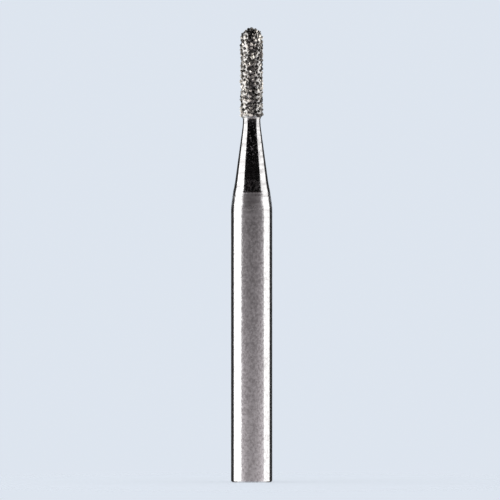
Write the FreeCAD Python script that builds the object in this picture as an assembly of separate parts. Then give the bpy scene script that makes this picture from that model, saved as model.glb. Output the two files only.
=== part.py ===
# Dental bur with a straight friction-grip shank and a round-ended cylindrical head of diamond grit.
# All sizes are in millimetres. +Z runs up the axis, from the flat end of the shank to the tip of
# the head, and the origin is the centre of that flat end.

import FreeCAD, Part

import math
import os
import random

Vector = FreeCAD.Vector
Rotation = FreeCAD.Rotation
AXIS = Vector(0, 0, 1)
ORIGIN = Vector(0, 0, 0)

# Shank, which the chuck of the handpiece grips
SHANK_DIAMETER = 1.60
SHANK_LENGTH = 10.6  # flat end to the corner where the shoulder would begin without its blend
END_CHAMFER = 0.04

# Shoulder, ground together with the shank
SHOULDER_LENGTH = 0.62
SHOULDER_ANGLE = 8.0  # degrees from the axis
SHOULDER_BLEND = 2.0  # radius between shank and shoulder

# Neck, a slim cone that flares out where it meets the shoulder and curves gently into the head
NECK_LENGTH = 2.83  # shoulder to head, flare and curve included
FLARE_SHARE = 0.205  # length of the flare as a share of the neck
NECK_WAIST = 0.018  # how far the flare begins inside a straight cone from head to shoulder
NECK_BLEND = 0.24  # length of the curve on each side of the corner between cone and core

# Core of the head, a cylinder with a round end, which the grit then makes 0.87 wide
CORE_DIAMETER = 0.67
CORE_LENGTH = 3.36  # neck to tip

# Nickel that is plated round the core, and the diamond grains that it holds
NICKEL_STRIKE = 0.005  # thin first coat between the core and the grains
NICKEL_THICKNESS = 0.052  # whole coat, strike included
NICKEL_EDGE = 0.030  # bevel at the masked lower edge of the coat
GRAIN_LARGEST = 0.145  # longest diagonal of a grain
GRAIN_SMALLEST = 0.118
GRAIN_SQUATNESS = 0.80  # shortest diagonal of a grain as a share of its longest
GRAIN_CLEARANCE = 0.036  # least nickel between two grains
GRAIN_MARGIN = 0.100  # lower edge of the coat to the lowest spot that a grain falls on
GRIT_TRIES = 6000
GRIT_SEED = 8

# Sizes that follow
SHANK_RADIUS = SHANK_DIAMETER / 2
CORE_RADIUS = CORE_DIAMETER / 2
SHOULDER_TOP = SHANK_LENGTH + SHOULDER_LENGTH
NECK_TOP = SHOULDER_TOP + NECK_LENGTH
CORE_TIP = NECK_TOP + CORE_LENGTH
DOME_HEIGHT = CORE_TIP - CORE_RADIUS  # where the straight core turns into its round end
SHOULDER_SLOPE = math.radians(SHOULDER_ANGLE)
SHOULDER_RADIUS = SHANK_RADIUS - SHOULDER_LENGTH * math.tan(SHOULDER_SLOPE)


def at(radius, height):
    """A point of the half section, which lies in the XZ plane."""
    return Vector(radius, 0, height)


def line(start, end):
    return Part.LineSegment(start, end).toShape()


def arc_about(centre, radius, first, last):
    """The arc of the half section about a centre, between two angles above the radial direction."""

    def on_arc(angle):
        return centre + at(radius * math.cos(angle), radius * math.sin(angle))

    return Part.Arc(on_arc(first), on_arc((first + last) / 2), on_arc(last)).toShape()


def arc_leaving(start, direction, end):
    """The arc that leaves start along direction and reaches end."""
    chord = end - start
    along = Vector(direction).normalize()
    side = chord - along * chord.dot(along)
    side.normalize()
    radius = chord.dot(chord) / (2 * chord.dot(side))
    centre = start + side * radius
    to_middle = ((start + end) / 2 - centre).normalize()
    return Part.Arc(start, centre + to_middle * radius, end).toShape()


def turned(edges):
    """The solid that a lathe would turn from the edges of its half section."""
    return Part.Face(Part.Wire(edges)).revolve(ORIGIN, AXIS, 360)


def shoulder_edges():
    """Shank side, blend and shoulder cone, up to the knee where the neck begins."""
    tangent = SHOULDER_BLEND * math.tan(SHOULDER_SLOPE / 2)
    blend_centre = at(SHANK_RADIUS - SHOULDER_BLEND, SHANK_LENGTH - tangent)
    blend = arc_about(blend_centre, SHOULDER_BLEND, 0, SHOULDER_SLOPE)
    side = line(at(SHANK_RADIUS, END_CHAMFER), at(SHANK_RADIUS, SHANK_LENGTH - tangent))
    cone = line(blend.Vertexes[-1].Point, at(SHOULDER_RADIUS, SHOULDER_TOP))
    return [side, blend, cone]


def neck_edges():
    """Flare, slim cone and the curve that leads it into the core of the head."""
    knee = at(SHOULDER_RADIUS, SHOULDER_TOP)
    corner = at(CORE_RADIUS, NECK_TOP - NECK_BLEND)
    flare_top = knee + (corner - knee) * FLARE_SHARE - at(NECK_WAIST, 0)
    down_cone = (flare_top - corner).normalize()
    cone_top = corner + down_cone * NECK_BLEND
    flare = arc_leaving(flare_top, down_cone, knee)
    blend = arc_leaving(at(CORE_RADIUS, NECK_TOP), -AXIS, cone_top)
    return [flare, line(flare_top, cone_top), blend]


def core_edges():
    """Straight core and its round end, up to the axis."""
    side = line(at(CORE_RADIUS, NECK_TOP), at(CORE_RADIUS, DOME_HEIGHT))
    return [side, arc_about(at(0, DOME_HEIGHT), CORE_RADIUS, 0, math.pi / 2)]


def make_blank():
    """The steel blank, turned and ground in one piece: shank, shoulder, neck and core."""
    face_rim = at(SHANK_RADIUS - END_CHAMFER, 0)
    end_face = line(ORIGIN, face_rim)
    chamfer = line(face_rim, at(SHANK_RADIUS, END_CHAMFER))
    centre_line = line(at(0, CORE_TIP), ORIGIN)
    return turned([end_face, chamfer, *shoulder_edges(), *neck_edges(), *core_edges(), centre_line])


def make_coat():
    """The nickel before the grains have their pockets: a closed sleeve round the core."""
    outer = CORE_RADIUS + NICKEL_THICKNESS
    lip = at(outer - NICKEL_EDGE, NECK_TOP)
    bevel_top = at(outer, NECK_TOP + NICKEL_EDGE)
    lower_face = line(at(CORE_RADIUS, NECK_TOP), lip)
    side = line(bevel_top, at(outer, DOME_HEIGHT))
    dome = arc_about(at(0, DOME_HEIGHT), outer, 0, math.pi / 2)
    cap = line(at(0, CORE_TIP + NICKEL_THICKNESS), at(0, CORE_TIP))
    return turned([lower_face, line(lip, bevel_top), side, dome, cap, *core_edges()])


def on_core(height, turn):
    """A spot on the core's surface, with the direction that points straight out of it."""
    rise = max(0.0, height - DOME_HEIGHT) / CORE_RADIUS
    level = math.sqrt(max(0.0, 1 - rise * rise))
    outward = Vector(level * math.cos(turn), level * math.sin(turn), rise)
    foot = Vector(0, 0, min(height, DOME_HEIGHT))
    return foot + outward * CORE_RADIUS, outward


def crystal_axes(chance):
    """The three half diagonals of a grain of random size, shape and turn."""
    size = chance.uniform(GRAIN_SMALLEST, GRAIN_LARGEST) / 2
    halves = [size] + [size * chance.uniform(GRAIN_SQUATNESS, 1) for _ in range(2)]
    turn = Rotation(*[chance.gauss(0, 1) for _ in range(4)])
    directions = (Vector(1, 0, 0), Vector(0, 1, 0), Vector(0, 0, 1))
    return [turn.multVec(way) * half for way, half in zip(directions, halves)]


def place_grains():
    """Centre and half diagonals of each grain. A grain that falls on a random spot of the core
    stays if it is clear of those already there, and rests on the strike by its lowest corner."""
    chance = random.Random(GRIT_SEED)
    grains = []
    for _ in range(GRIT_TRIES):
        height = chance.uniform(NECK_TOP + GRAIN_MARGIN, CORE_TIP)
        spot, outward = on_core(height, chance.uniform(0, 2 * math.pi))
        axes = crystal_axes(chance)
        reach = max(abs(axis.dot(outward)) for axis in axes)
        centre = spot + outward * (NICKEL_STRIKE + reach)
        gap = axes[0].Length + GRAIN_CLEARANCE
        if all(centre.distanceToPoint(c) > gap + others[0].Length for c, others in grains):
            grains.append((centre, axes))
    return grains


def make_grain(centre, axes):
    """One crystal of diamond: an octahedron on its three diagonals."""
    a, b, c = axes
    faces = []
    for i in (a, -a):
        for j in (b, -b):
            for k in (c, -c):
                corners = [centre + i, centre + j, centre + k]
                faces.append(Part.Face(Part.makePolygon([*corners, corners[0]])))
    return Part.Solid(Part.Shell(faces))


def write(name, shape):
    shape.exportStep(os.path.join("parts", name + ".step"))
    print(name, "solids", len(shape.Solids), "faces", len(shape.Faces), "volume", round(shape.Volume, 5))


os.makedirs("parts", exist_ok=True)
grit = Part.makeCompound([make_grain(centre, axes) for centre, axes in place_grains()])
write("steel_blank", make_blank())
write("nickel_bond", make_coat().cut(grit))
write("diamond_grit", grit)
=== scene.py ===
# %% [markdown]
# # A diamond dental bur
# A bur is a steel pin less than two centimetres long. Its shank goes into the handpiece, its neck
# tapers to a slim core, and diamond crystals are plated onto that core with nickel. The packed
# model already holds the three pieces at their real size. This lesson gives them the surfaces of
# the real ones. The first step loads the imported model and prints the box of each part.

# %% The imported model
import math

import bpy
import numpy as np
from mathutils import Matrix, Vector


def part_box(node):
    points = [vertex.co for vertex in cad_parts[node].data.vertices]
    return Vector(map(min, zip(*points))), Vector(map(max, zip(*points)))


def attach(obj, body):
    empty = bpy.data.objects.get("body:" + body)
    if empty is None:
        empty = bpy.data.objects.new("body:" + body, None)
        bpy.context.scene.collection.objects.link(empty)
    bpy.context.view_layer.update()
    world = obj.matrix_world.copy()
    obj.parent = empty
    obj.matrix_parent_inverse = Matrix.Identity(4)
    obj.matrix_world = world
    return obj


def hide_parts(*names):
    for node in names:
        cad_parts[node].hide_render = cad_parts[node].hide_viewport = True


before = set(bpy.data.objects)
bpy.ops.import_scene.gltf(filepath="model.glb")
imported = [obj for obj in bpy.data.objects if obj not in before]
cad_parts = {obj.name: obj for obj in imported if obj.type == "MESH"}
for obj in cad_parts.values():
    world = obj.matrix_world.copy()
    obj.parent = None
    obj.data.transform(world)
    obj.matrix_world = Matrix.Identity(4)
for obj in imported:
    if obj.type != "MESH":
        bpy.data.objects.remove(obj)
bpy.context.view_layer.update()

MM = 0.001  # the model is in metres, and a bur is easier to think of in millimetres
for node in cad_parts:
    low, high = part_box(node)
    print(node, "from", np.round(np.array(low) / MM, 3), "to", np.round(np.array(high) / MM, 3), "mm")

# %% [markdown]
# ## Meshes from whole arrays
# Every new piece here is a surface that numpy works out at once. Three helpers are enough. The first
# hands arrays of corners and faces to Blender. The second joins a grid of points into a closed
# skin: the last column meets the first one, and the first and last rows are poles, one point each.
# The third stores a number for each corner or face, which a material can read by its name.

# %% Meshes from arrays
SHARP_CORNER = math.radians(20)


def add_piece(name, corners, *faces, smooth=True):
    """An object at the origin with these corners. Each array of faces has one row of corners a face."""
    sizes = np.concatenate([np.full(len(part), part.shape[1]) for part in faces])
    loops = np.concatenate([part.ravel() for part in faces])
    mesh = bpy.data.meshes.new(name)
    mesh.vertices.add(len(corners))
    mesh.vertices.foreach_set("co", np.asarray(corners, np.float32).ravel())
    mesh.loops.add(len(loops))
    mesh.loops.foreach_set("vertex_index", loops.astype(np.int32))
    mesh.polygons.add(len(sizes))
    mesh.polygons.foreach_set("loop_start", (np.cumsum(sizes) - sizes).astype(np.int32))
    mesh.update(calc_edges=True)
    mesh.validate()
    if smooth:
        mesh.shade_smooth()
        mesh.set_sharp_from_angle(angle=SHARP_CORNER)
    else:
        mesh.shade_flat()
    piece = bpy.data.objects.new(name, mesh)
    bpy.context.scene.collection.objects.link(piece)
    print(name, "has", len(corners), "corners and", int((sizes - 2).sum()), "triangles")
    return piece


def add_skin(name, grid):
    """A closed skin over grid[row, column]. Point (r, c) is joined to (r + 1, c), (r + 1, c + 1) and
    (r, c + 1), counting columns round and round, and each end row shrinks to its first point."""
    rows, columns = grid.shape[:2]
    corners = np.concatenate([grid[0, :1], grid[1:-1].reshape(-1, 3), grid[-1, :1]])
    ring = np.arange(1, 1 + (rows - 2) * columns).reshape(rows - 2, columns)
    after = np.roll(ring, -1, axis=1)
    quads = np.stack([ring[:-1], after[:-1], after[1:], ring[1:]], axis=-1)
    first = np.stack([after[0], ring[0], np.zeros(columns, int)], axis=-1)
    last = np.stack([ring[-1], after[-1], np.full(columns, len(corners) - 1)], axis=-1)
    return add_piece(name, corners, quads.reshape(-1, 4), np.concatenate([first, last]))


def add_numbers(piece, name, domain, numbers):
    """One number for each POINT or FACE of the piece, under a name that its material reads."""
    attribute = piece.data.attributes.new(name, "FLOAT", domain)
    attribute.data.foreach_set("value", numbers.astype(np.float32).ravel())
    print(piece.name, name, "goes from", np.round(numbers.min(), 3), "to", np.round(numbers.max(), 3))


# %% [markdown]
# ## The steel blank
# The real blank is turned and ground from one wire, so its surface is a half outline carried round
# the axis. A sphere or cylinder of Blender's own would have to be joined and would show its facets,
# while an outline of lines and arcs gives each stretch its true form and as many rows as it needs.
# It starts at the flat end and follows the shank, the shoulder, the flare, the slim cone, the curve
# into the core, and the core's round end. Each stretch leaves out its end, which is the next one's
# first point, and an arc that is easier to draw downwards is turned over.

# %% Outline of the blank
SHANK_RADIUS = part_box("steel_blank")[1][1]  # facets make the solid's mesh narrowest along Y
BLANK_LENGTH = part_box("steel_blank")[1][2]
NECK_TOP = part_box("nickel_bond")[0][2]
CORE_RADIUS = 0.335 * MM
END_CHAMFER = 0.04 * MM
SHANK_LENGTH = 10.6 * MM
SHOULDER_TOP = SHANK_LENGTH + 0.62 * MM
SHOULDER_SLOPE = math.radians(8)
SHOULDER_BLEND = 2.0 * MM  # radius between shank and shoulder
FLARE_SHARE = 0.205  # length of the flare as a share of the neck
NECK_WAIST = 0.018 * MM  # how far the flare begins inside a straight cone
NECK_BLEND = 0.24 * MM  # length of the curve on each side of the corner between cone and core
DOME_HEIGHT = BLANK_LENGTH - CORE_RADIUS


def run(start, end, count):
    """Points on the straight line start + t (end - start), t from 0 up to, but without, 1."""
    t = np.linspace(0, 1, count, endpoint=False)[:, None]
    return np.array(start) * (1 - t) + np.array(end) * t


def arc(centre, radius, first, last, count):
    """Points centre + radius (cos a, sin a), a running from the first angle up to the last."""
    angle = np.linspace(first, last, count, endpoint=False)
    return np.array(centre) + radius * np.column_stack([np.cos(angle), np.sin(angle)])


def bow(start, leaving, end, count):
    """Points on the arc that leaves start along a unit direction and reaches end. Its centre is off
    to the side of that direction, and its radius is the chord's square over twice the part of the
    chord that goes that way."""
    chord = end - start
    side = chord - leaving * (chord @ leaving)
    side /= np.linalg.norm(side)
    radius = chord @ chord / (2 * chord @ side)
    centre = start + side * radius
    first, last = (math.atan2(*(point - centre)[::-1]) for point in (start, end))
    turn = (last - first + math.pi) % (2 * math.pi) - math.pi
    return arc(centre, radius, first, first + turn, count)


tangent = SHOULDER_BLEND * math.tan(SHOULDER_SLOPE / 2)
blend_centre = (SHANK_RADIUS - SHOULDER_BLEND, SHANK_LENGTH - tangent)
blend = arc(blend_centre, SHOULDER_BLEND, 0, SHOULDER_SLOPE, count=16)
shoulder_radius = SHANK_RADIUS - (SHOULDER_TOP - SHANK_LENGTH) * math.tan(SHOULDER_SLOPE)
knee = np.array([shoulder_radius, SHOULDER_TOP])
core_foot = np.array([CORE_RADIUS, NECK_TOP])
corner = np.array([CORE_RADIUS, NECK_TOP - NECK_BLEND])
flare_top = knee + (corner - knee) * FLARE_SHARE - [NECK_WAIST, 0]
down_cone = (flare_top - corner) / np.linalg.norm(flare_top - corner)
cone_top = corner + down_cone * NECK_BLEND
outline = np.concatenate([
    [(0, 0)],
    run((SHANK_RADIUS - END_CHAMFER, 0), (SHANK_RADIUS, END_CHAMFER), count=3),
    run((SHANK_RADIUS, END_CHAMFER), blend[0], count=24),
    blend,
    run(blend[-1], knee, count=60)[1:],
    [knee],
    bow(flare_top, down_cone, knee, count=20)[::-1],
    run(flare_top, cone_top, count=24)[1:],
    [cone_top],
    bow(core_foot, np.array([0, -1]), cone_top, count=16)[::-1],
    run(core_foot, (CORE_RADIUS, DOME_HEIGHT), count=12)[1:],
    arc((0, DOME_HEIGHT), CORE_RADIUS, 0, math.pi / 2, count=12),
    [(0, BLANK_LENGTH)],
])
print("the outline has", len(outline), "points, and its knee is", np.round(knee / MM, 3), "mm out and up")

# %% [markdown]
# Where the polish of the neck meets the grinding of the shank, the wheel has left a groove a few
# thousandths of a millimetre deep. It is far too fine for the solid, so it is taken off the radius
# here as a narrow bell curve. The skin is then measured against the solid that it stands for.

# %% The turned skin
AROUND = 256  # columns
GROOVE_HEIGHT = 11.06 * MM
GROOVE_WIDTH = 0.035 * MM
GROOVE_DEPTH = 0.0025 * MM


def turned(profile, columns):
    """grid[row, column] = (r cos a, r sin a, z), for r and z of the profile and a round the axis."""
    angle = np.linspace(0, 2 * np.pi, columns, endpoint=False)
    radius, height = profile[:, :1], profile[:, 1:]
    return np.stack([radius * np.cos(angle), radius * np.sin(angle), height + 0 * angle], axis=-1)


def points_of(node):
    """The corners of a node's mesh, one row each."""
    points = np.empty(len(node.data.vertices) * 3)
    node.data.vertices.foreach_get("co", points)
    return points.reshape(-1, 3)


radius, height = outline.T
groove = GROOVE_DEPTH * np.exp(-(((height - GROOVE_HEIGHT) / GROOVE_WIDTH) ** 2))
radius = np.maximum(0, radius - groove)
blank = add_skin("turned_steel", turned(np.column_stack([radius, height]), AROUND))
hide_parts("steel_blank")
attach(blank, "root")

solid = points_of(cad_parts["steel_blank"])
side = solid[(solid[:, 2] > END_CHAMFER) & (solid[:, 2] < DOME_HEIGHT)]
off = np.hypot(side[:, 0], side[:, 1]) - np.interp(side[:, 2], height[2:-1], radius[2:-1])
print("the skin is within", round(float(np.abs(off).max() / MM), 4), "mm of the solid")

# %% [markdown]
# ## The crystals
# Grit is not round: each grain is a crystal with flat faces, and these faces make the head glitter.
# A bumpy sleeve would be quick, but its edge against the light would be smooth. So every grain is a
# small mesh of its own. The solid has the larger ones as octahedra, and their corners are read back
# from it. A real coat is denser than the solid can be, so smaller crystals are dropped at random
# spots, largest first, and each one stays if it doesn't crowd those already there. They lie down
# on their broad side, as grains do in the bath.

# %% The grains of the solid
STRIKE = 0.005 * MM  # nickel under a grain
COAT_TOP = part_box("diamond_grit")[1][2]
LOOSE_CORNERS = 24  # eight triangles for each octahedron


def grains_of_solid(points):
    """Centre and three half diagonals of each octahedron. Its loose corners lie four on each true
    corner, so their mean is the centre, and the first face joins the ends of three half diagonals."""
    grains = points.reshape(-1, LOOSE_CORNERS, 3)
    centre = grains.mean(axis=1)
    return centre, grains[:, :3] - centre[:, None]


centres, axes = grains_of_solid(points_of(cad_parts["diamond_grit"]))
mean_halves = np.linalg.norm(axes, axis=2).mean(axis=0)
print(len(centres), "grains in the solid, half diagonals", np.round(mean_halves / MM, 3), "mm on average")

# %% More grains in the gaps
FILL_TRIES = 12000
FILL_SIZE = (0.094 * MM, 0.062 * MM)  # half diagonal of the first grain tried and of the last
FILL_MARGIN = 0.078 * MM  # lower edge of the coat to the lowest spot that is tried
FILL_SQUATNESS = 0.7  # shortest half diagonal as a share of the longest, before the grain lies down
LYING = 0.72  # height of a grain that lies down, as a share of its height at a random turn
CROWDING = 0.74  # least distance between two grains as a share of their two half diagonals
chance = np.random.default_rng(5)


def on_core(height, turn):
    """Spots on the core, C + R u, and the directions u out of it: level on the straight stretch, and
    on the dome away from its centre C."""
    rise = np.maximum(0, height - DOME_HEIGHT) / CORE_RADIUS
    level = np.sqrt(np.maximum(0, 1 - rise**2))
    outward = np.column_stack([level * np.cos(turn), level * np.sin(turn), rise])
    foot = np.column_stack([0 * turn, 0 * turn, np.minimum(height, DOME_HEIGHT)])
    return foot + CORE_RADIUS * outward, outward


def random_turns(count):
    """Rotation matrices of random unit quaternions (w, x, y, z), each turn as likely as any other."""
    drawn = chance.normal(size=(4, count))
    w, x, y, z = drawn / np.linalg.norm(drawn, axis=0)
    return np.stack([
        1 - 2 * (y * y + z * z), 2 * (x * y - w * z), 2 * (x * z + w * y),
        2 * (x * y + w * z), 1 - 2 * (x * x + z * z), 2 * (y * z - w * x),
        2 * (x * z - w * y), 2 * (y * z + w * x), 1 - 2 * (x * x + y * y),
    ], axis=-1).reshape(count, 3, 3)


spots, outward = on_core(
    chance.uniform(NECK_TOP + FILL_MARGIN, BLANK_LENGTH, FILL_TRIES),
    chance.uniform(0, 2 * np.pi, FILL_TRIES),
)
sizes = np.linspace(*FILL_SIZE, FILL_TRIES)
shorter = chance.uniform(FILL_SQUATNESS, 1, (FILL_TRIES, 2))
halves = sizes[:, None] * np.column_stack([np.ones(FILL_TRIES), shorter])
tried_axes = random_turns(FILL_TRIES) * halves[:, :, None]
upright = np.einsum("nkd,nd->nk", tried_axes, outward)
tried_axes -= (1 - LYING) * upright[:, :, None] * outward[:, None]
reach = LYING * np.abs(upright).max(axis=1)
tried = spots + outward * (STRIKE + reach)[:, None]
tops = tried[:, 2] + np.abs(tried_axes[:, :, 2]).max(axis=1)
placed = list(centres)
radii = list(np.linalg.norm(axes, axis=2).max(axis=1))
chosen = []
for i in np.flatnonzero(tops < COAT_TOP):
    gaps = np.linalg.norm(np.array(placed) - tried[i], axis=1)
    if np.all(gaps > CROWDING * (np.array(radii) + sizes[i])):
        chosen.append(i)
        placed.append(tried[i])
        radii.append(sizes[i])
print(len(chosen), "grains more")

# %% [markdown]
# Each grain becomes an octahedron with its six corners cut off, as worn and imperfect crystals have:
# eight hexagons where its faces were and six squares at its corners. That is only 14 faces, because
# there are hundreds of grains.

# %% Cutting the corners off
TRUNCATION = (0.20, 0.33)  # how far along each edge its corner is cut off
SWELL = 1.26  # what makes up for the corners that are lost
ENDS = np.array([(1, 0, 0), (-1, 0, 0), (0, 1, 0), (0, -1, 0), (0, 0, 1), (0, 0, -1)])
EDGE_ENDS = [(i, j) for i in range(6) for j in range(6) if i // 2 != j // 2]


def hexagon(a, b, c):
    """What is left of the face between three corners, once each of them is cut off."""
    if (a + b + c) % 2:  # an odd number of them is on the negative side, so the way round turns over
        b, c = c, b
    return [EDGE_ENDS.index(pair) for pair in ((a, b), (b, a), (b, c), (c, b), (c, a), (a, c))]


def square(corner):
    """The cut through a corner, the way round that faces out."""
    axis, negative = divmod(corner, 2)
    one, two = 2 * ((axis + 1) % 3), 2 * ((axis + 2) % 3)
    way_round = [one, two, one + 1, two + 1]
    return [EDGE_ENDS.index((corner, other)) for other in (way_round[::-1] if negative else way_round)]


hexagons = np.array([hexagon(a, b, c) for a in (0, 1) for b in (2, 3) for c in (4, 5)])
squares = np.array([square(corner) for corner in range(6)])
centres = np.concatenate([centres, tried[chosen]])
axes = np.concatenate([axes, tried_axes[chosen]])
axes[:, 2] *= np.sign(np.linalg.det(axes))[:, None]  # all right-handed, so that faces point out
cut = chance.uniform(*TRUNCATION, (len(centres), 1, 1))
start, end = ENDS[np.array(EDGE_ENDS).T]
corners = centres[:, None] + SWELL * ((1 - cut) * start + cut * end) @ axes
corners[..., 2] = np.minimum(corners[..., 2], COAT_TOP)
first = len(EDGE_ENDS) * np.arange(len(centres))[:, None, None]
crystals = add_piece(
    "diamond_crystals",
    corners.reshape(-1, 3),
    (first + hexagons).reshape(-1, 6),
    (first + squares).reshape(-1, 4),
    smooth=False,
)
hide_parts("diamond_grit")
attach(crystals, "root")

# %% [markdown]
# Two numbers tell the material of the grit about each crystal. One is its tone, which it nearly
# shares with its neighbours, so that the head has dark and light patches as a coat of natural
# crystals has. The other is how high a corner stands over the core, since the foot of a grain is in
# the shade of the nickel, and its colour is darkened there as painted shade.

# %% Tone and height of each crystal
TONE_REACH = 0.09 * MM  # neighbours this near are of like tone
TONE_SEED = 1491  # a draw that leaves the tip dark


def ranks(values):
    """Each value's place in their order, from 0 for the smallest to 1 for the largest."""
    return values.argsort().argsort() / (len(values) - 1)


def over_core(points):
    """Height over the core: the distance to the nearest point of its axis, which ends where the
    round end has its centre, less the radius."""
    foot = points * [0, 0, 1]
    foot[:, 2] = np.minimum(foot[:, 2], DOME_HEIGHT)
    return np.linalg.norm(points - foot, axis=1) - CORE_RADIUS


apart = np.linalg.norm(centres[:, None] - centres[None], axis=2)
drawn = np.random.default_rng(TONE_SEED).normal(size=len(centres))
shared = np.exp(-((apart / TONE_REACH) ** 2)) @ drawn
tone = ranks(shared)
face_tones = np.concatenate([np.repeat(tone, len(hexagons)), np.repeat(tone, len(squares))])
add_numbers(crystals, "tone", "FACE", face_tones)
add_numbers(crystals, "over_core_mm", "POINT", over_core(corners.reshape(-1, 3)) / MM)

# %% [markdown]
# ## The nickel
# Nickel is plated on until it grips the grains half way up, and it creeps a little higher where it
# touches one. A smooth sleeve would look like paint. So the skin of the coat is a grid of points
# that each stand out by the coat's thickness and by a rim that fades with the distance to the
# nearest grain. At its lower edge the plating thins out over the neck and ends in a wavy line.

# %% How near the coat is to its grains
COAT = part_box("nickel_bond")[1][2] - BLANK_LENGTH  # thickness
LIP = 0.03 * MM  # bevel at the lower edge
RIM_RISE = 0.016 * MM
RIM_FADE = 0.022 * MM
GRAIN_BODY = 0.6  # radius of a grain at the coat's surface, as a share of its longest half diagonal
NEAR_ROWS = 0.2 * MM  # grains further up or down than this don't matter
COAT_ROWS = 300
COAT_AROUND = 280
outer = CORE_RADIUS + COAT
straight = DOME_HEIGHT - NECK_TOP - LIP
along = np.linspace(0, straight + outer * math.pi / 2, COAT_ROWS)
bend = np.clip((along - straight) / outer, 0, math.pi / 2)
normal = np.column_stack([np.cos(bend), np.sin(bend)])
base = outer * normal + np.column_stack([0 * along, NECK_TOP + LIP + np.minimum(along, straight)])
skin = turned(base, COAT_AROUND)
body = GRAIN_BODY * np.linalg.norm(axes, axis=2).max(axis=1)


def nearness(points):
    """exp(-gap / RIM_FADE) for points of one row, where gap is the distance to the nearest grain's
    centre less the radius of its body: 1 at a grain, and 0 far from any."""
    close = np.abs(centres[:, 2] - points[0, 2]) < NEAR_ROWS
    gap = np.linalg.norm(points[:, None] - centres[close], axis=2) - body[close]
    return np.exp(-np.clip(gap.min(axis=1), 0, None) / RIM_FADE)


near = np.stack([nearness(row) for row in skin])
near[-1] = near[-1].mean()
skin += turned(normal, COAT_AROUND) * (RIM_RISE * near)[..., None]
print("rims cover", round(100 * float((near > 0.5).mean())), "% of the coat")

# %% The plated coat
FEATHER_LENGTH = 0.045 * MM  # how far the thin edge of the plating creeps down the neck
FEATHER_THICKNESS = 0.012 * MM
FEATHER_WAVE = 0.006 * MM  # three waves round the neck, with seven smaller ones over them
edge = NECK_TOP - FEATHER_LENGTH
inside = np.concatenate([
    [(0, BLANK_LENGTH)],
    arc((0, DOME_HEIGHT), CORE_RADIUS, 0, math.pi / 2, count=8)[::-1],
    [(CORE_RADIUS, edge), (CORE_RADIUS + FEATHER_THICKNESS, edge), (outer - LIP, NECK_TOP)],
])
inner = turned(inside, COAT_AROUND)
turn = np.linspace(0, 2 * np.pi, COAT_AROUND, endpoint=False)
inner[-3:-1, :, 2] += FEATHER_WAVE * (np.sin(3 * turn + 1) + 0.6 * np.sin(7 * turn))
coat = add_skin("nickel_plate", np.concatenate([inner, skin]))
near = np.concatenate([np.zeros(inner.shape[:2]), near])
add_numbers(coat, "near_grain", "POINT", np.concatenate([near[0, :1], near[1:-1].ravel(), near[-1, :1]]))
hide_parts("nickel_bond")
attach(coat, "root")

# %% [markdown]
# ## Finishes
# Every material starts as a Principled BSDF whose plain numbers are set on its own sockets. What
# varies over the surface is a pattern of noise in Object coordinates, counted in millimetres, or a
# number that the mesh carries. A few small helpers keep the node trees readable.

# %% Helpers for node trees
def feed(socket, value):
    """Gives an input the output of another node, or else sets it to a value."""
    if isinstance(value, bpy.types.NodeSocket):
        socket.id_data.links.new(socket, value)
    else:
        socket.default_value = value


def add_node(tree, kind, inputs=(), **settings):
    """A node with these settings, and with its inputs fed by name or number."""
    node = tree.nodes.new(kind)
    for setting, value in settings.items():
        setattr(node, setting, value)
    for socket, value in dict(inputs).items():
        feed(node.inputs[socket], value)
    return node


def new_material(name, inputs):
    """A material, its node tree and its Principled BSDF, with these inputs."""
    material = bpy.data.materials.new(name)
    material.use_nodes = True
    shader = material.node_tree.nodes["Principled BSDF"]
    for socket, value in inputs.items():
        feed(shader.inputs[socket], value)
    return material, material.node_tree, shader


def in_millimetres(tree, stretch=(1, 1, 1)):
    """Object coordinates in millimetres, each axis multiplied by its stretch."""
    place = add_node(tree, "ShaderNodeTexCoord").outputs["Object"]
    scale = [part / MM for part in stretch]
    return add_node(tree, "ShaderNodeMapping", {"Vector": place, "Scale": scale}).outputs[0]


def noise(tree, place, scale, detail, roughness):
    """Noise from 0 to 1 in three dimensions, with scale waves to the unit."""
    inputs = {"Vector": place, "Scale": scale, "Detail": detail, "Roughness": roughness}
    return add_node(tree, "ShaderNodeTexNoise", inputs).outputs[0]


def attribute(tree, name):
    """The numbers that the mesh carries under this name."""
    return add_node(tree, "ShaderNodeAttribute", attribute_name=name).outputs["Fac"]


# %% Helpers for numbers and colours
def map_range(tree, value, low, high, to_low, to_high, curve="LINEAR"):
    """Change of value from low..high to to_low..to_high, held at both ends."""
    inputs = {"Value": value, "From Min": low, "From Max": high, "To Min": to_low, "To Max": to_high}
    return add_node(tree, "ShaderNodeMapRange", inputs, interpolation_type=curve).outputs[0]


def calculate(tree, operation, *values):
    """One step of arithmetic on numbers or outputs."""
    return add_node(tree, "ShaderNodeMath", enumerate(values), operation=operation).outputs[0]


def mix(tree, factor, first, second):
    """first where factor is 0, and second where it is 1: either may be a number or an output."""
    return add_node(tree, "ShaderNodeMix", {0: factor, 2: first, 3: second}, data_type="FLOAT").outputs[0]


def tinted(tree, colour, tint):
    """The product of two colours."""
    settings = {"data_type": "RGBA", "blend_type": "MULTIPLY"}
    return add_node(tree, "ShaderNodeMix", {0: 1.0, 6: colour, 7: tint}, **settings).outputs[2]


def ramp(tree, value, stops):
    """Colour that passes through the colours of the stops, each a place from 0 to 1 and a colour."""
    node = add_node(tree, "ShaderNodeValToRGB", {0: value})
    elements = node.color_ramp.elements
    for _ in stops[2:]:
        elements.new(0.5)
    for element, (position, colour) in zip(elements, stops):
        element.position = position
        element.color = (*colour, 1)
    return node.outputs[0]


def by_height(tree, height, levels, values):
    """What changes straight from one of these values to the next, between the heights that they have."""
    low, high = levels[0], levels[-1]
    places = [(level - low) / (high - low) for level in levels]
    greys = [(value, value, value) for value in values]
    return ramp(tree, map_range(tree, height, low, high, 0.0, 1.0), list(zip(places, greys)))
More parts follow.
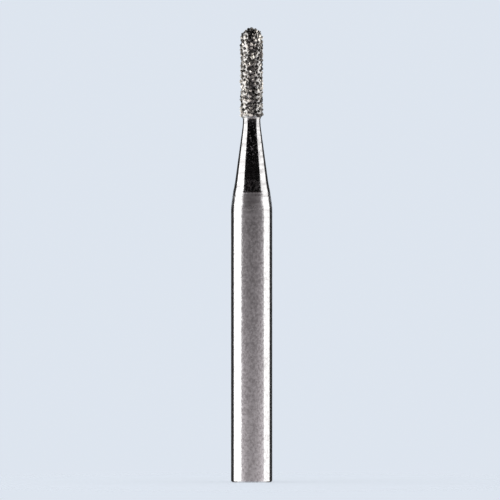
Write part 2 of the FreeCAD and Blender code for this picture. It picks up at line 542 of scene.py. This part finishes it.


# %% [markdown]
# ## Steel
# The shank and the shoulder are ground by a wheel while the blank spins. The scratches run round the
# pin and spread the light along it, which is what the anisotropy of the shader is for, with a
# tangent that goes round the axis. The neck is polished, and where its polish ends there are two
# light lines, partly rougher steel and partly a painted highlight. Two materials would meet in a hard
# seam, so there is one, and a table of heights says how ground, how much rougher and how light the
# steel is on the way. That lightness is painted light: the shoulder and the two lines are lighter
# than the shank below and the polish above.

# %% Where the steel is ground, and where it is polished
# The last column, how light, is a painted highlight in the colour: the shoulder and the two lines are
# lighter than the shank below and the polish above.
WHEEL_LINES = [  # height in mm, how ground the steel is, how much rougher for that, and how light
    (10.42, 1.0, 0.00, 0.83),
    (10.62, 1.0, 0.06, 1.00),
    (10.98, 1.0, 0.09, 1.00),
    (11.015, 1.0, 0.34, 1.00),
    (11.05, 0.9, 0.08, 0.84),
    (11.10, 0.9, 0.08, 0.84),
    (11.135, 1.0, 0.24, 1.00),
    (11.155, 0.9, 0.05, 0.80),
    (11.18, 0.0, 0.00, 0.70),
]
steel, tree, shader = new_material(
    "ground_and_polished_steel", {"Metallic": 1.0, "Anisotropic": 1.0, "Anisotropic Rotation": 0.25}
)
place = in_millimetres(tree)
height_mm = add_node(tree, "ShaderNodeSeparateXYZ", {0: place}).outputs["Z"]
levels, *columns = zip(*WHEEL_LINES)
ground, rougher, light = (by_height(tree, height_mm, levels, column) for column in columns)
print("the polish ends at", levels[-1], "mm, and the steel below", levels[0], "mm is plainly ground")

# %% [markdown]
# Three patterns of noise do the rest: a mottle of blotches, rings that are stretched round the pin,
# and streaks along it that the polish has left. Two more give the polished neck a few rough flecks
# near the head and a faint haze by the lines.

# %% Patterns on the steel
UPRIGHT = (1.1, 1.1, 0.85)  # stretch that makes blotches a little taller than wide
ROUND_THE_PIN = (0.6, 0.6, 2.5)
ALONG_THE_PIN = (9, 9, 0.8)
FLECK_NOISE = (0.56, 0.68)  # from the rim of a fleck to where it is roughest
FLECK_HEIGHTS = (12.15, 12.6)  # mm, between which the flecks set in
FLECK_ROUGHNESS = 0.33
HAZE_NOISE = (0.40, 0.70)
HAZE_HEIGHTS = (11.6, 11.7)  # mm, between which the haze comes to an end
HAZE_ROUGHNESS = 0.17
mottle = noise(tree, in_millimetres(tree, UPRIGHT), scale=11.0, detail=2.0, roughness=0.6)
rings = noise(tree, in_millimetres(tree, ROUND_THE_PIN), scale=3.0, detail=1.0, roughness=0.5)
streaks = noise(tree, in_millimetres(tree, ALONG_THE_PIN), scale=1.0, detail=3.0, roughness=0.6)
spots = noise(tree, place, scale=12.4, detail=2.0, roughness=0.5)
clouds = noise(tree, place, scale=16.0, detail=2.0, roughness=0.6)
near_head = map_range(tree, height_mm, *FLECK_HEIGHTS, 0.0, 1.0)
near_lines = map_range(tree, height_mm, *HAZE_HEIGHTS, 1.0, 0.0)
flecks = map_range(tree, spots, *FLECK_NOISE, 0.0, FLECK_ROUGHNESS)
haze = map_range(tree, clouds, *HAZE_NOISE, 0.0, HAZE_ROUGHNESS)
flecks = calculate(tree, "MULTIPLY", flecks, near_head)
haze = calculate(tree, "MULTIPLY", haze, near_lines)
print("flecks add up to", FLECK_ROUGHNESS, "to the roughness, and haze up to", HAZE_ROUGHNESS)

# %% Roughness and colour of the steel
NOISE_SPREAD = (0.3, 0.7)  # nearly all of a noise lies between these
GROUND = (0.21, 0.26)  # roughness at either end of that spread
POLISHED = (0.06, 0.12)
RING_HEIGHTS = (9.6, 10.8)  # mm, between which the colour turns from mottled to ringed
RING_SHARES = (0.12, 0.70)  # share of the rings in its pattern at these heights
STEEL_TONES = [(0.36, (0.60, 0.585, 0.585)), (0.64, (1.0, 0.99, 0.99))]
ground_roughness = calculate(tree, "ADD", map_range(tree, mottle, *NOISE_SPREAD, *GROUND), rougher)
polished_roughness = calculate(tree, "ADD", map_range(tree, streaks, *NOISE_SPREAD, *POLISHED), flecks)
polished_roughness = calculate(tree, "ADD", polished_roughness, haze)
feed(shader.inputs["Roughness"], mix(tree, ground, polished_roughness, ground_roughness))

ringed = map_range(tree, height_mm, *RING_HEIGHTS, *RING_SHARES)
colour = ramp(tree, mix(tree, ringed, mottle, rings), STEEL_TONES)
# The colour carries the painted highlight of the shoulder and the two lines.
feed(shader.inputs["Base Color"], tinted(tree, colour, light))
print("ground steel has roughness", GROUND, "and polished steel", POLISHED)

# %% Relief of the steel
STREAK_RELIEF = 0.15  # streaks of the polish are this much of the relief of plain ones
LEVEL = 0.5  # middle of a noise
polished_relief = mix(tree, STREAK_RELIEF, LEVEL, streaks)
ground_relief = mix(tree, 0.5, mottle, rings)  # half and half
relief = mix(tree, ground, polished_relief, ground_relief)
bump = add_node(tree, "ShaderNodeBump", {"Height": relief, "Strength": 0.15, "Distance": 0.004 * MM})
feed(shader.inputs["Normal"], bump.outputs[0])
around = add_node(tree, "ShaderNodeTangent", direction_type="RADIAL", axis="Z")
feed(shader.inputs["Tangent"], around.outputs[0])
blank.data.materials.append(steel)
print("the steel takes", len(tree.nodes), "nodes")

# %% [markdown]
# ## Nickel and diamond
# The nickel is a satin metal, and its colour is painted darker where it creeps up a grain, as
# painted shade for the little light that gets out of that corner. Clear crystals would need the light
# to go through hundreds of them. Plated grit doesn't look clear, though: it looks like chips of dark
# and cream-coloured metal with a glassy glint. So the crystals are shaded as metal, in the tone that
# each one carries, and their colour fades to dark at their feet as painted shade.

# %% Nickel
nickel, tree, shader = new_material("plated_nickel", {"Metallic": 1.0, "Roughness": 0.26})
# Painted shade: the nickel's colour darkens beside a grain, where little light gets out of the corner.
shades = [(0.25, (0.52, 0.505, 0.49)), (0.85, (0.07, 0.067, 0.064))]
feed(shader.inputs["Base Color"], ramp(tree, attribute(tree, "near_grain"), shades))
nodules = noise(tree, in_millimetres(tree), scale=40.0, detail=3.0, roughness=0.6)
bump = add_node(tree, "ShaderNodeBump", {"Height": nodules, "Strength": 0.6, "Distance": 0.004 * MM})
feed(shader.inputs["Normal"], bump.outputs[0])
coat.data.materials.append(nickel)
print("the nickel goes from", shades[0][1], "to", shades[1][1], "beside a grain")

# %% Diamond
# Painted shade: the colour of a grain fades to dark towards its foot, where the nickel shades it.
SHADED_FOOT = (0.050, 0.0875)  # mm over the core, between which a grain comes out of the shade
FOOT_SHARE = 0.05  # what the shade leaves of its tone
diamond, tree, shader = new_material("diamond_grit", {"Metallic": 1.0, "Roughness": 0.40, "IOR": 2.42})
out_of_painted_shade = map_range(tree, attribute(tree, "over_core_mm"), *SHADED_FOOT, FOOT_SHARE, 1.0)
shade = calculate(tree, "MULTIPLY", attribute(tree, "tone"), out_of_painted_shade)
tones = [
    (0.0, (0.022, 0.020, 0.018)),
    (0.3, (0.20, 0.187, 0.172)),
    (0.6, (0.74, 0.695, 0.635)),
    (1.0, (0.95, 0.895, 0.81)),
]
feed(shader.inputs["Base Color"], ramp(tree, shade, tones))
crystals.data.materials.append(diamond)
print("the grit has", len(tones), "tones, from", tones[0][1], "to", tones[-1][1])

# %% [markdown]
# ## The studio
# The camera looks at the bur from far away through a long lens, so the pin shows no perspective. Its
# place follows from the size of a pixel on the pin, and from the pixels of its flat end and axis.

# %% Camera
IMAGE = 500  # pixels
PIXEL = 1.60 * MM / 41.5  # the shank is 41.5 pixels wide
BASE_ROW = 482  # pixel row of the flat end
AXIS_COLUMN = 251.65  # pixel column of the axis
LENS = 600.0  # millimetres
SENSOR = 36.0
CLIP = (0.005, 10.0)  # metres from the camera that it sees
distance = LENS * IMAGE * PIXEL / SENSOR
camera_data = bpy.data.cameras.new("camera")
camera_data.lens = LENS
camera_data.sensor_width = SENSOR
camera_data.clip_start, camera_data.clip_end = CLIP
camera = bpy.data.objects.new("camera", camera_data)
camera.location = ((IMAGE / 2 - AXIS_COLUMN) * PIXEL, -distance, (BASE_ROW - IMAGE / 2) * PIXEL)
camera.rotation_euler = (math.pi / 2, 0, 0)
bpy.context.scene.collection.objects.link(camera)
bpy.context.scene.camera = camera
bpy.context.scene.view_settings.view_transform = "Standard"
print("the camera is", round(distance, 3), "m away")

# %% [markdown]
# The backdrop is a pale blue world. It is seen as it is by the camera, in reflections and through
# glass. Only the light that it sheds on the matt floor is plain white, so that the floor has
# the colour of the backdrop.

# %% World
BACKDROP = (0.727, 0.784, 0.863, 1)
FILL_LIGHT = 1.0
world = bpy.data.worlds.new("studio")
world.use_nodes = True
bpy.context.scene.world = world
tree = world.node_tree
seen = tree.nodes["Background"]
seen.inputs["Color"].default_value = BACKDROP
unseen = add_node(tree, "ShaderNodeBackground", {"Strength": FILL_LIGHT})
ray = add_node(tree, "ShaderNodeLightPath").outputs
shown = calculate(tree, "MAXIMUM", ray["Is Camera Ray"], ray["Is Glossy Ray"])
shown = calculate(tree, "MAXIMUM", shown, ray["Is Transmission Ray"])
choice = add_node(tree, "ShaderNodeMixShader", {0: shown, 1: unseen.outputs[0], 2: seen.outputs[0]})
feed(tree.nodes["World Output"].inputs["Surface"], choice.outputs[0])
print("the backdrop is", BACKDROP[:3])

# %% [markdown]
# Polished steel shows its surroundings more than itself, so the light is arranged like a jeweller's:
# a soft white panel on each side gives a bright stripe, and dark flags behind them give the dark
# lines at the edges. A grey card in front gives the dark middle. It is nearer, because the shank has
# to see its light lower end while the neck, whose surface looks up, sees its dark top. The cards
# change their width once on the way up, since the stripes of the neck have other shares of it than
# those of the shank. A black lid keeps the tip dark. The camera sees none of them, only their
# reflections.

# %% Panels, flags and the lid
CARD_COLUMNS = 24
CARD_DISTANCE = 90 * MM
LEFT_GLOW = 2.0  # the head is brighter on its left
RIGHT_GLOW = 1.65
FLAG_GLOW = 0.04
LID_HEIGHT = 108 * MM
SHEET = np.array([(-1, -1, 0), (1, -1, 0), (1, 1, 0), (-1, 1, 0)])  # corners of a level square
LEFT_PANEL = [(-90, -118, -60), (22, -118, -60), (24, -118, -50), (110, -118, -50)]
RIGHT_PANEL = [(-90, 72, 120), (22, 72, 120), (24, 60, 120), (110, 60, 120)]
LEFT_FLAG = [(-90, -168, -118), (20, -168, -118), (22, -152, -118), (110, -152, -118)]
RIGHT_FLAG = [(-90, 120, 168), (20, 120, 168), (22, 120, 152), (110, 120, 152)]


def glow(name, strength=0.0, colour=(1, 1, 1, 1)):
    """A material that only gives light, and its emission node."""
    material = bpy.data.materials.new(name)
    material.use_nodes = True
    tree = material.node_tree
    tree.nodes.clear()
    emission = add_node(tree, "ShaderNodeEmission", {"Color": colour, "Strength": strength})
    add_node(tree, "ShaderNodeOutputMaterial", {"Surface": emission.outputs[0]})
    return material, emission


def set_up(piece, material, lights_floor=False):
    """Makes a sheet part of the studio, which shows in reflections only."""
    piece.data.materials.append(material)
    piece.visible_camera = False
    piece.visible_diffuse = lights_floor
    piece.visible_shadow = False


def card(name, rows, distance=CARD_DISTANCE):
    """A sheet bent round the axis, with points (d sin a, -d cos a, z). Each row gives a height z in
    millimetres and the azimuths that a goes between there, in degrees from the camera towards +X."""
    height, first, last = np.array(rows, float).T[:, :, None]
    azimuth = np.radians(first + (last - first) * np.linspace(0, 1, CARD_COLUMNS))
    points = [distance * np.sin(azimuth), -distance * np.cos(azimuth), height * MM + 0 * azimuth]
    grid = np.stack(points, axis=-1)
    below = CARD_COLUMNS * np.arange(len(rows) - 1)[:, None] + np.arange(CARD_COLUMNS - 1)
    above = below + CARD_COLUMNS
    quads = np.stack([below, below + 1, above + 1, above], axis=-1)
    return add_piece(name, grid.reshape(-1, 3), quads.reshape(-1, 4))


left_white, _ = glow("left_white", LEFT_GLOW)
right_white, _ = glow("right_white", RIGHT_GLOW)
dark, _ = glow("dark_card", FLAG_GLOW)
black, _ = glow("black_card")
set_up(card("panel_left", LEFT_PANEL), left_white, lights_floor=True)
set_up(card("panel_right", RIGHT_PANEL), right_white, lights_floor=True)
set_up(card("flag_left", LEFT_FLAG), dark)
set_up(card("flag_right", RIGHT_FLAG), dark)
lid_corners = CARD_DISTANCE * SHEET + [0, 0, LID_HEIGHT]
set_up(add_piece("lid", lid_corners, np.array([[0, 3, 2, 1]])), black)

# %% The grey card in front
FRONT_DISTANCE = 26 * MM
FRONT_ROWS = [(-90, -60, 72), (16, -60, 72), (18, -55, 64), (80, -55, 64)]
FRONT_COLOUR = (1.0, 0.93, 0.965, 1)
FRONT_EDGE = 0.87 * FRONT_DISTANCE / MM  # x of its left edge in mm, without the sign
EDGE_GAIN = 0.65  # how much more it gives there than in the middle
FRONT_LIGHT = [(-34, 0.077), (-12, 0.77), (16, 0.004)]  # height in mm, and strength there
grey, emission = glow("grey_card", colour=FRONT_COLOUR)
tree = grey.node_tree
split = add_node(tree, "ShaderNodeSeparateXYZ", {0: in_millimetres(tree)})
strength = by_height(tree, split.outputs["Z"], *zip(*FRONT_LIGHT))
aside = calculate(tree, "POWER", calculate(tree, "DIVIDE", split.outputs["X"], FRONT_EDGE), 2.0)
brighter_aside = calculate(tree, "MULTIPLY_ADD", aside, EDGE_GAIN, 1.0)
feed(emission.inputs["Strength"], calculate(tree, "MULTIPLY", strength, brighter_aside))
set_up(card("card_front", FRONT_ROWS, FRONT_DISTANCE), grey)
print("the front card gives", FRONT_LIGHT[1][1], "at its brightest and", FRONT_LIGHT[-1][1], "at the top")

# %% [markdown]
# The floor is a pale sheet that fades into the backdrop before the camera can see its far edge. Half
# of its brightness is its own, and half is light that a shadow can take away.

# %% Floor
FLOOR_SHARP = 8.0  # millimetres from the axis, up to which the floor is solid
FLOOR_FADE = 16.0  # where it has faded into the backdrop
FLOOR_HALF = 20 * MM
SHADED = 0.5  # share of the floor's brightness that a shadow can take away
floor_material, tree, shader = new_material("floor", {
    "Base Color": (*(SHADED * np.array(BACKDROP[:3])), 1),
    "Emission Color": BACKDROP,
    "Emission Strength": 1 - SHADED,
    "Roughness": 0.9,
    "Specular IOR Level": 0.0,
})
from_axis = add_node(tree, "ShaderNodeVectorMath", {0: in_millimetres(tree)}, operation="LENGTH")
fade = map_range(tree, from_axis.outputs["Value"], FLOOR_SHARP, FLOOR_FADE, 0.0, 1.0, "SMOOTHSTEP")
clear = add_node(tree, "ShaderNodeBsdfTransparent")
faded = add_node(tree, "ShaderNodeMixShader", {0: fade, 1: shader.outputs[0], 2: clear.outputs[0]})
feed(tree.nodes["Material Output"].inputs["Surface"], faded.outputs[0])
floor = add_piece("floor", FLOOR_HALF * SHEET, np.array([[0, 1, 2, 3]]))
floor.data.materials.append(floor_material)
floor.visible_glossy = False
